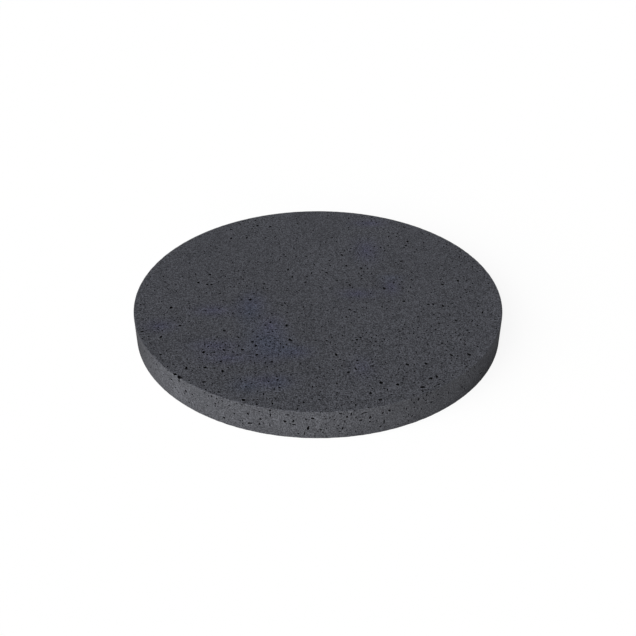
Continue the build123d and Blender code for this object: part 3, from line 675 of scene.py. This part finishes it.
def halfSkin(side, rows, random):
    # The land between the voids is a triangulation of the flat pattern with the mouths left out, folded
    # onto the slab. The seam loop comes first, so that both halves can share it. Beside the points go
    # two marks for the material: how much painted shade a point has, which is below 0 where a lip is
    # painted as a highlight, and how far round onto the rim it lies
    seam = ringPoints(skinEnds(side)[2], slab["rimColumns"], 0)
    sides = np.array([min(n for n, longest in sidesUpTo.items() if row[2] <= longest) for row in rows])
    lips = lipPoints(rows[sides >= voids["lipFrom"]], side)
    flats = [seam, clearOfVoids(np.concatenate([skinPoints(side), lips]), rows)]
    groups = [(n, *voidPatches(rows[sides == n], side, n, random)) for n in sorted(set(sides))]
    start = len(flats[0]) + len(flats[1])
    paler = [np.zeros(start)]
    for n, mouth, *rest in groups:
        flats.append(mouth.reshape(-1, 2))
        # Mouths with enough sides get a shade below 0 at their edge: a painted highlight on the lip
        paler.append(np.full(len(flats[-1]), -voids["lipHighlight"] if n >= voids["lipFrom"] else 0.0))
    flat = np.concatenate(flats)
    points = [foldSkin(flat, side)]
    marks = [np.column_stack([np.concatenate(paler), rimShare(flat, side)])]
    triangles = []
    mouthFaces = []
    deeper = len(flat)
    for n, mouth, solid, shade, onRim in groups:
        count, rings = len(mouth), solid.shape[1]
        index = start + np.arange(count * n).reshape(count, 1, n)
        start += count * n
        mouthFaces += index[:, 0].tolist()
        below = deeper + np.arange(count * (rings - 2) * n).reshape(count, rings - 2, n)
        floor = deeper + below.size + np.arange(count)
        deeper += below.size + count
        points += [solid[:, 1:-1].reshape(-1, 3), solid[:, -1].mean(1)]
        inside = np.column_stack([shade, onRim])
        marks += [np.repeat(inside, (rings - 2) * n, 0), inside]
        stack = np.concatenate([index, below], 1)
        upper, lower = stack[:, :-1], stack[:, 1:]
        upperNext, lowerNext = np.roll(upper, -1, 2), np.roll(lower, -1, 2)
        last, lastNext = stack[:, -1], np.roll(stack[:, -1], -1, 1)
        middle = np.broadcast_to(floor[:, None], last.shape)
        walls = [(upper, upperNext, lowerNext), (upper, lowerNext, lower), (last, lastNext, middle)]
        triangles += [np.stack(three, -1).reshape(-1, 3) for three in walls]
    triangles.append(landTriangles(flat, mouthFaces))
    return np.concatenate(points), np.concatenate(marks), np.concatenate(triangles)


def meshFrom(name, points, triangles):
    # Arrays into a mesh in one go
    mesh = bpy.data.meshes.new(name)
    mesh.vertices.add(len(points))
    mesh.vertices.foreach_set("co", points.astype(np.float32).ravel())
    mesh.loops.add(triangles.size)
    mesh.loops.foreach_set("vertex_index", triangles.astype(np.int32).ravel())
    mesh.polygons.add(len(triangles))
    mesh.polygons.foreach_set("loop_start", np.arange(0, triangles.size, 3, dtype=np.int32))
    mesh.update(calc_edges=True)
    mesh.validate()
    return mesh


def makeSlab():
    # Both halves of the skin, with the bed half turned over and sewn to the seam of the top half
    random = np.random.default_rng(slab["seed"])
    solidVoids = readSolidVoids(slabNode)
    halves = {}
    for side in ("top", "bed"):
        rows = scatterVoids(solidVoids[side], side, random)
        print("skin:", side, len(solidVoids[side]), "voids from the solid,", len(rows), "in all")
        halves[side] = halfSkin(side, rows, random)
    points, marks, triangles = halves["top"]
    bedPoints, bedMarks, bedTriangles = halves["bed"]
    seam = slab["rimColumns"]
    flipped = bedTriangles[:, ::-1]
    moved = np.where(flipped < seam, flipped, flipped + len(points) - seam)
    points = np.concatenate([points, bedPoints[seam:]])
    marks = np.concatenate([marks, bedMarks[seam:]])
    mesh = meshFrom(slab["name"], points, np.concatenate([triangles, moved]))
    # Point attributes: the voids' painted shade and lip highlight, and the share of the rim
    for column, name in enumerate(("paintedShadeAndLipLight", "rimShare")):
        layer = mesh.attributes.new(name, "FLOAT", "POINT")
        layer.data.foreach_set("value", marks[:, column].astype(np.float32))
    mesh.polygons.foreach_set("use_smooth", np.ones(len(mesh.polygons), bool))
    mesh.set_sharp_from_angle(angle=math.radians(slab["sharpAngle"]))
    piece = bpy.data.objects.new(slab["name"], mesh)
    bpy.context.scene.collection.objects.link(piece)
    print("slab:", len(mesh.polygons), "triangles")
    return piece


# The concrete: dark anthracite, matt, with the mottling and grain of a wet-cast face. A pattern has its
# size in millimetres, its detail, and the lowest and highest level that it multiplies the colour by
concrete = {
    "colour": (0.0635, 0.0655, 0.0757),
    "rimToneAndLightTint": (1.01, 1.0, 0.968),  # tinted a little warmer than the faces: partly the cast skin's tone, partly painted warm light on the rim
    "coolTint": (0.99, 0.97, 1.22),  # what the bluish patches do to the colour
    "steelTint": (0.96, 1.055, 1.26),  # and the colder blue ones
    "blotch": {"size": 80.0, "detail": 2, "levels": (0.94, 1.06)},
    "mottle": {"size": 17.0, "detail": 3, "levels": (0.94, 1.06)},
    "fleck": {"size": 2.8, "detail": 1, "levels": (0.94, 1.06)},
    "grain": {"size": 1.4, "detail": 0, "levels": (0.45, 1.55)},
    "streak": {"size": 9.0, "detail": 3, "levels": (0.93, 1.07)},  # drawn out down the rim
    "streakSquash": 0.3,  # height is read at this share for the streaks, which draws them out
    "rag": {"size": 2.4, "detail": 3, "from": (0.575, 0.64), "levels": (1.0, 0.68)},  # nicks of the rim
    "noiseSpan": (0.3, 0.7),  # noise that the levels run between, where a pattern has no span of its own
    "noiseRoughness": 0.55,  # how strong the finest detail of a noise is
    # Pale grains of sand: their spacing and which share of places has one, then size, soft edge and level
    "sand": {"gap": 4.2, "share": 0.30, "radius": 0.22, "edge": 0.08, "inside": 1.65},
    "foot": {"height": 12, "level": 0.87},  # painted shade: the rim is darkened downwards over its lowest millimetres, next to the floor
    "rimCalm": 0.30,  # how much of the grain the rim loses
    "patchFade": 1.5,  # how much wider than its reach a patch is drawn, as it fades outwards
    "patchDepth": 40,  # how far down a patch of the walking face fades out, in millimetres
    "roughSpan": (0.9, 1.1),  # levels of the mottle that the roughness runs between
    "roughness": (0.86, 1.0),
    "gloss": 0.08,
    "bump": 1.0,
    "relief": 0.35 * mm,
}

# Faint patches as the photograph shows them: bluish, colder blue, and paler or darker ones. Those of the
# walking face have their middle in x and y and how far they reach each way, in millimetres. Those of the
# rim have their azimuth in degrees, then their height and how far they reach round the rim and up it, in
# millimetres. The last number is their strength: the share of the tint, or of lightness added
coolPatches = [
    (80, 208, 34, 16, 1.0),
    (72, 122, 24, 44, 1.0),
    (102, 20, 16, 28, 1.0),
    (55, 2, 32, 16, 1.0),
    (-90, -28, 24, 34, 1.0),
    (-140, -40, 34, 18, 1.0),
    (-62, -78, 22, 34, 1.0),
    (-130, -120, 40, 18, 1.0),
    (-112, -146, 40, 16, 1.0),
    (-62, -124, 28, 40, 1.0),
    (-28, -134, 24, 16, 1.0),
    (-60, -193, 36, 18, 1.0),
    (-206, -76, 26, 18, 1.0),
    (55, -165, 18, 28, 0.6),
]
steelPatches = [
    (-91, -40, 20, 50, 0.8),
    (-66, -112, 34, 40, 1.0),
    (-38, -130, 30, 18, 0.7),
    (-84, -202, 24, 18, 0.8),
    (-47, -195, 16, 16, 0.7),
    (104, 44, 24, 12, 0.5),
]
palePatches = [
    (153, 147, 12, 12, 0.10),
    (178, 38, 12, 12, 0.12),
    (-180, -35, 12, 12, 0.12),
    (120, -125, 95, 70, 0.05),
    (182, -110, 22, 18, 0.05),
    (75, -205, 60, 30, 0.09),
    (-40, -215, 90, 30, 0.10),
    (-150, -165, 60, 45, 0.08),
    (-40, 90, 30, 24, 0.02),
    (-120, 60, 60, 40, -0.03),
    (95, 15, 55, 60, -0.05),
    (190, -50, 30, 30, -0.05),
    (0, 200, 50, 40, -0.02),
    (170, 70, 45, 40, -0.05),
]
# Painted light and shade round the rim, with some of the concrete's tone in it: paler where the key light
# faces the rim, darker at its far left and towards its right, and darkest low on its right end
rimLightAndShade = [
    (-162, 20, 80, 45, -0.47),
    (-133, 20, 24, 45, 0.14),
    (-62, 20, 40, 45, -0.10),
    (-28, 20, 40, 45, -0.08),
    (-20, 0, 120, 22, -0.62),
]


def addNode(tree, kind, inputs=None, **settings):
    # A node with its settings, and each input linked to a socket or set to a value
    node = tree.nodes.new(kind)
    for name, value in settings.items():
        setattr(node, name, value)
    for name, value in (inputs or {}).items():
        if isinstance(value, bpy.types.NodeSocket):
            tree.links.new(value, node.inputs[name])
        else:
            node.inputs[name].default_value = value
    return node


def stretch(tree, value, source, target):
    # The value moved from one range to another, and held at its ends
    ends = {"From Min": source[0], "From Max": source[1], "To Min": target[0], "To Max": target[1]}
    return addNode(tree, "ShaderNodeMapRange", {"Value": value, **ends}).outputs["Result"]


def calculate(tree, operation, first, second):
    # One sum with two values
    return addNode(tree, "ShaderNodeMath", {0: first, 1: second}, operation=operation).outputs["Value"]


def multiply(tree, *levels):
    # All the levels multiplied together
    product = levels[0]
    for level in levels[1:]:
        product = calculate(tree, "MULTIPLY", product, level)
    return product


def scaled(tree, vector, factor):
    # A place or colour times a factor
    inputs = {0: vector, "Scale": factor}
    return addNode(tree, "ShaderNodeVectorMath", inputs, operation="SCALE").outputs["Vector"]


def blend(tree, share, first, second):
    # The first value where the share is 0, and the second where it is 1
    return addNode(tree, "ShaderNodeMix", {"Factor": share, "A": first, "B": second}).outputs["Result"]


def blendColour(tree, share, first, second):
    # The same for two colours
    inputs = {"Factor": share, "A": first, "B": second}
    return addNode(tree, "ShaderNodeMix", inputs, data_type="RGBA").outputs["Result"]


def blendShader(tree, share, first, second):
    # The same for two shaders
    return addNode(tree, "ShaderNodeMixShader", {0: share, 1: first, 2: second}).outputs["Shader"]


def noiseLevel(tree, place, pattern):
    # Noise stretched so that it runs from the pattern's lowest level to its highest
    inputs = {"Vector": place, "Scale": 1 / pattern["size"], "Detail": pattern["detail"]}
    inputs["Roughness"] = concrete["noiseRoughness"]
    noise = addNode(tree, "ShaderNodeTexNoise", inputs).outputs["Fac"]
    return stretch(tree, noise, pattern.get("from", concrete["noiseSpan"]), pattern["levels"])


def speckLevel(tree, place, pattern):
    # Round specks in some cells of a Voronoi pattern, of any size up to a radius: 1 outside a speck, and
    # the pattern's level inside it
    cells = addNode(tree, "ShaderNodeTexVoronoi", {"Vector": place, "Scale": 1 / pattern["gap"]})
    chance = addNode(tree, "ShaderNodeSeparateColor", {"Color": cells.outputs["Color"]}).outputs["Red"]
    reach = stretch(tree, chance, (1 - pattern["share"], 1), (0, pattern["radius"]))
    under = calculate(tree, "SUBTRACT", reach, cells.outputs["Distance"])
    return stretch(tree, under, (0, pattern["edge"]), (1, pattern["inside"]))


def patchLevel(tree, place, patches):
    # Adds up soft oval patches: each is a sphere gradient squeezed to its reach, eased out to nothing
    total = 0.0
    for middle, reach, strength in patches:
        mapping = addNode(tree, "ShaderNodeMapping", {"Vector": place}, vector_type="TEXTURE")
        mapping.inputs["Location"].default_value = middle
        mapping.inputs["Scale"].default_value = reach
        inputs = {"Vector": mapping.outputs["Vector"]}
        fade = addNode(tree, "ShaderNodeTexGradient", inputs, gradient_type="QUADRATIC_SPHERE")
        total = calculate(tree, "ADD", total, calculate(tree, "MULTIPLY", fade.outputs["Fac"], strength))
    return total


def facePatches(patches):
    # Patches of the walking face as middle, reach and strength, in millimetres
    level, wider = slab["height"] / mm, concrete["patchFade"]
    placed = []
    for x, y, reachX, reachY, strength in patches:
        reach = (wider * reachX, wider * reachY, concrete["patchDepth"])
        placed.append(((x, y, level), reach, strength))
    return placed


def roundPatches(patches):
    # The same for patches of the rim, whose middle is found from their azimuth
    radius, wider = slab["radius"] / mm, concrete["patchFade"]
    placed = []
    for azimuth, level, reach, reachUp, strength in patches:
        x = radius * math.cos(math.radians(azimuth))
        y = radius * math.sin(math.radians(azimuth))
        placed.append(((x, y, level), (wider * reach, wider * reach, wider * reachUp), strength))
    return placed


def tinted(name):
    # The concrete's own colour times one of its tints
    return (*[level * change for level, change in zip(concrete["colour"], concrete[name])], 1)


def makeConcrete():
    # The tinted colour times every level: patterns, patches of tone, the rim's painted light and shade,
    # the painted shade at the foot of the rim, and 1 less the painted shade of the voids
    material = bpy.data.materials.new("anthraciteConcrete")
    material.use_nodes = True
    tree = material.node_tree
    shader = tree.nodes["Principled BSDF"]
    place = addNode(tree, "ShaderNodeTexCoord").outputs["Object"]
    inMm = scaled(tree, place, 1 / mm)
    squash = (1, 1, concrete["streakSquash"])
    squat = addNode(tree, "ShaderNodeMapping", {"Vector": inMm, "Scale": squash}).outputs["Vector"]
    onRim = addNode(tree, "ShaderNodeAttribute", attribute_name="rimShare").outputs["Fac"]
    paintedShadeAndLipLight = addNode(tree, "ShaderNodeAttribute", attribute_name="paintedShadeAndLipLight").outputs["Fac"]
    names = ("blotch", "mottle", "fleck")
    blotch, mottle, fleck = [noiseLevel(tree, inMm, concrete[name]) for name in names]
    calm = calculate(tree, "MULTIPLY", onRim, concrete["rimCalm"])
    grain = blend(tree, calm, noiseLevel(tree, inMm, concrete["grain"]), 1.0)
    sand = speckLevel(tree, inMm, concrete["sand"])
    streak = blend(tree, onRim, 1.0, noiseLevel(tree, squat, concrete["streak"]))
    rag = blend(tree, onRim, 1.0, noiseLevel(tree, inMm, concrete["rag"]))
    # Painted shade at the foot of the rim, darker towards the floor
    height = addNode(tree, "ShaderNodeSeparateXYZ", {"Vector": inMm}).outputs["Z"]
    dim = stretch(tree, height, (0, concrete["foot"]["height"]), (concrete["foot"]["level"], 1))
    foot = blend(tree, onRim, 1.0, dim)
    # 1 less the painted shade of the voids, above 1 on a lip's painted highlight
    unshaded = calculate(tree, "SUBTRACT", 1.0, paintedShadeAndLipLight)
    topPale = calculate(tree, "ADD", 1.0, patchLevel(tree, inMm, facePatches(palePatches)))
    # Painted light and shade of the rim, added to the paler and darker tone of the walking face
    rimPaintedLight = calculate(tree, "MULTIPLY", onRim, patchLevel(tree, inMm, roundPatches(rimLightAndShade)))
    paleToneAndRimLight = calculate(tree, "ADD", topPale, rimPaintedLight)
    level = multiply(tree, blotch, mottle, fleck, grain, sand, streak, rag, foot, unshaded, paleToneAndRimLight)
    coolShare = patchLevel(tree, inMm, facePatches(coolPatches))
    cool = blendColour(tree, coolShare, (*concrete["colour"], 1), tinted("coolTint"))
    steelShare = patchLevel(tree, inMm, facePatches(steelPatches))
    steel = blendColour(tree, steelShare, cool, tinted("steelTint"))
    # The rim's tint, partly painted warm light
    cast = blendColour(tree, onRim, steel, tinted("rimToneAndLightTint"))
    tree.links.new(scaled(tree, cast, level), shader.inputs["Base Color"])
    rough = stretch(tree, mottle, concrete["roughSpan"], concrete["roughness"])
    tree.links.new(rough, shader.inputs["Roughness"])
    shader.inputs["Specular IOR Level"].default_value = concrete["gloss"]
    relief = multiply(tree, fleck, grain, rag)
    bump = addNode(tree, "ShaderNodeBump", {"Height": relief, "Strength": concrete["bump"]})
    bump.inputs["Distance"].default_value = concrete["relief"]
    tree.links.new(bump.outputs["Normal"], shader.inputs["Normal"])
    return material


# Studio: a pale floor that reads as white, a soft low key from the front left and an even sky
studio = {
    "floorReach": 12.0,
    "floorDrop": 0.1 * mm,
    "floorGrey": 0.80,  # what the floor sends back onto the slab
    "floorGlow": 0.88,  # level the camera sees in the darkest shadow
    "floorShade": 0.14,  # what the light adds to it elsewhere
    "sky": 0.12,
    "skyColour": (1.0, 1.0, 1.05),
    "keyAzimuth": -130.5,
    "keyHeight": 18.0,
    "keyPower": 6.5,
    "keyColour": (1.0, 1.0, 0.985),
    "keySoftness": 85.0,  # width of the light in the sky, in degrees
    "keyDistance": 3.0,
}

# The photograph's camera: place in metres, tilt in degrees, lens and sensor in millimetres
camera = {
    "place": (0.0, -1.0196, 0.6898),
    "tiltDown": 34.05,
    "lens": 49.74,
    "sensor": 36.0,
}


def seenDirectly(tree):
    # 1 for what the camera sees, straight or in a gloss or through glass
    path = addNode(tree, "ShaderNodeLightPath")
    seen = path.outputs["Is Camera Ray"]
    for name in ("Is Glossy Ray", "Is Transmission Ray"):
        seen = calculate(tree, "MAXIMUM", seen, path.outputs[name])
    return seen


def greyShader(tree, grey):
    # A matt grey of one level
    return addNode(tree, "ShaderNodeBsdfDiffuse", {"Color": (grey, grey, grey, 1)}).outputs["BSDF"]


def makeFloor():
    # One square face. From above the camera sees it as white with a faint shadow, and from below not at
    # all, while the slab gets plain grey light back from it
    reach, level = studio["floorReach"], -studio["floorDrop"]
    mesh = bpy.data.meshes.new("studio_floor")
    square = [(-1, -1), (1, -1), (1, 1), (-1, 1)]
    mesh.from_pydata([(x * reach, y * reach, level) for x, y in square], [], [(0, 1, 2, 3)])
    floor = bpy.data.objects.new("studio_floor", mesh)
    bpy.context.scene.collection.objects.link(floor)
    material = bpy.data.materials.new("paleFloor")
    material.use_nodes = True
    tree = material.node_tree
    tree.nodes.clear()
    plain = greyShader(tree, studio["floorGrey"])
    shaded = greyShader(tree, studio["floorShade"])
    glow = addNode(tree, "ShaderNodeEmission", {"Strength": studio["floorGlow"]}).outputs["Emission"]
    lit = addNode(tree, "ShaderNodeAddShader", {0: shaded, 1: glow}).outputs["Shader"]
    front = blendShader(tree, seenDirectly(tree), plain, lit)
    clear = addNode(tree, "ShaderNodeBsdfTransparent").outputs["BSDF"]
    behind = addNode(tree, "ShaderNodeNewGeometry").outputs["Backfacing"]
    addNode(tree, "ShaderNodeOutputMaterial", {"Surface": blendShader(tree, behind, front, clear)})
    mesh.materials.append(material)


def makeLight():
    # A sky that is white to the camera and dim to the slab, and a broad soft sun
    world = bpy.data.worlds.new("studioSky")
    world.use_nodes = True
    tree = world.node_tree
    sky = tree.nodes["Background"]
    dim = (*[level * studio["sky"] for level in studio["skyColour"]], 1)
    tree.links.new(blendColour(tree, seenDirectly(tree), dim, (1, 1, 1, 1)), sky.inputs["Color"])
    bpy.context.scene.world = world
    lamp = bpy.data.lights.new("keyLight", "SUN")
    lamp.energy = studio["keyPower"]
    lamp.color = studio["keyColour"]
    lamp.angle = math.radians(studio["keySoftness"])
    key = bpy.data.objects.new("keyLight", lamp)
    azimuth, height = math.radians(studio["keyAzimuth"]), math.radians(studio["keyHeight"])
    level = math.cos(height)
    towards = Vector((math.cos(azimuth) * level, math.sin(azimuth) * level, math.sin(height)))
    key.location = towards * studio["keyDistance"]
    key.rotation_euler = towards.to_track_quat("Z", "Y").to_euler()
    bpy.context.scene.collection.objects.link(key)


def makeCamera():
    # The photograph's view, fitted to the slab's outline in it
    lens = bpy.data.cameras.new("photoCamera")
    lens.sensor_width = camera["sensor"]
    lens.lens = camera["lens"]
    eye = bpy.data.objects.new("photoCamera", lens)
    eye.location = camera["place"]
    eye.rotation_euler = (math.radians(90 - camera["tiltDown"]), 0, 0)
    bpy.context.scene.collection.objects.link(eye)
    bpy.context.scene.camera = eye
    bpy.context.scene.view_settings.view_transform = "Standard"


makeCamera()
makeFloor()
makeLight()
print("studio: camera, floor and light")
castSlab = makeSlab()
castSlab.data.materials.append(makeConcrete())
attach(castSlab, "root")
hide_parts("paving_slab")
print("concrete: on", castSlab.name)
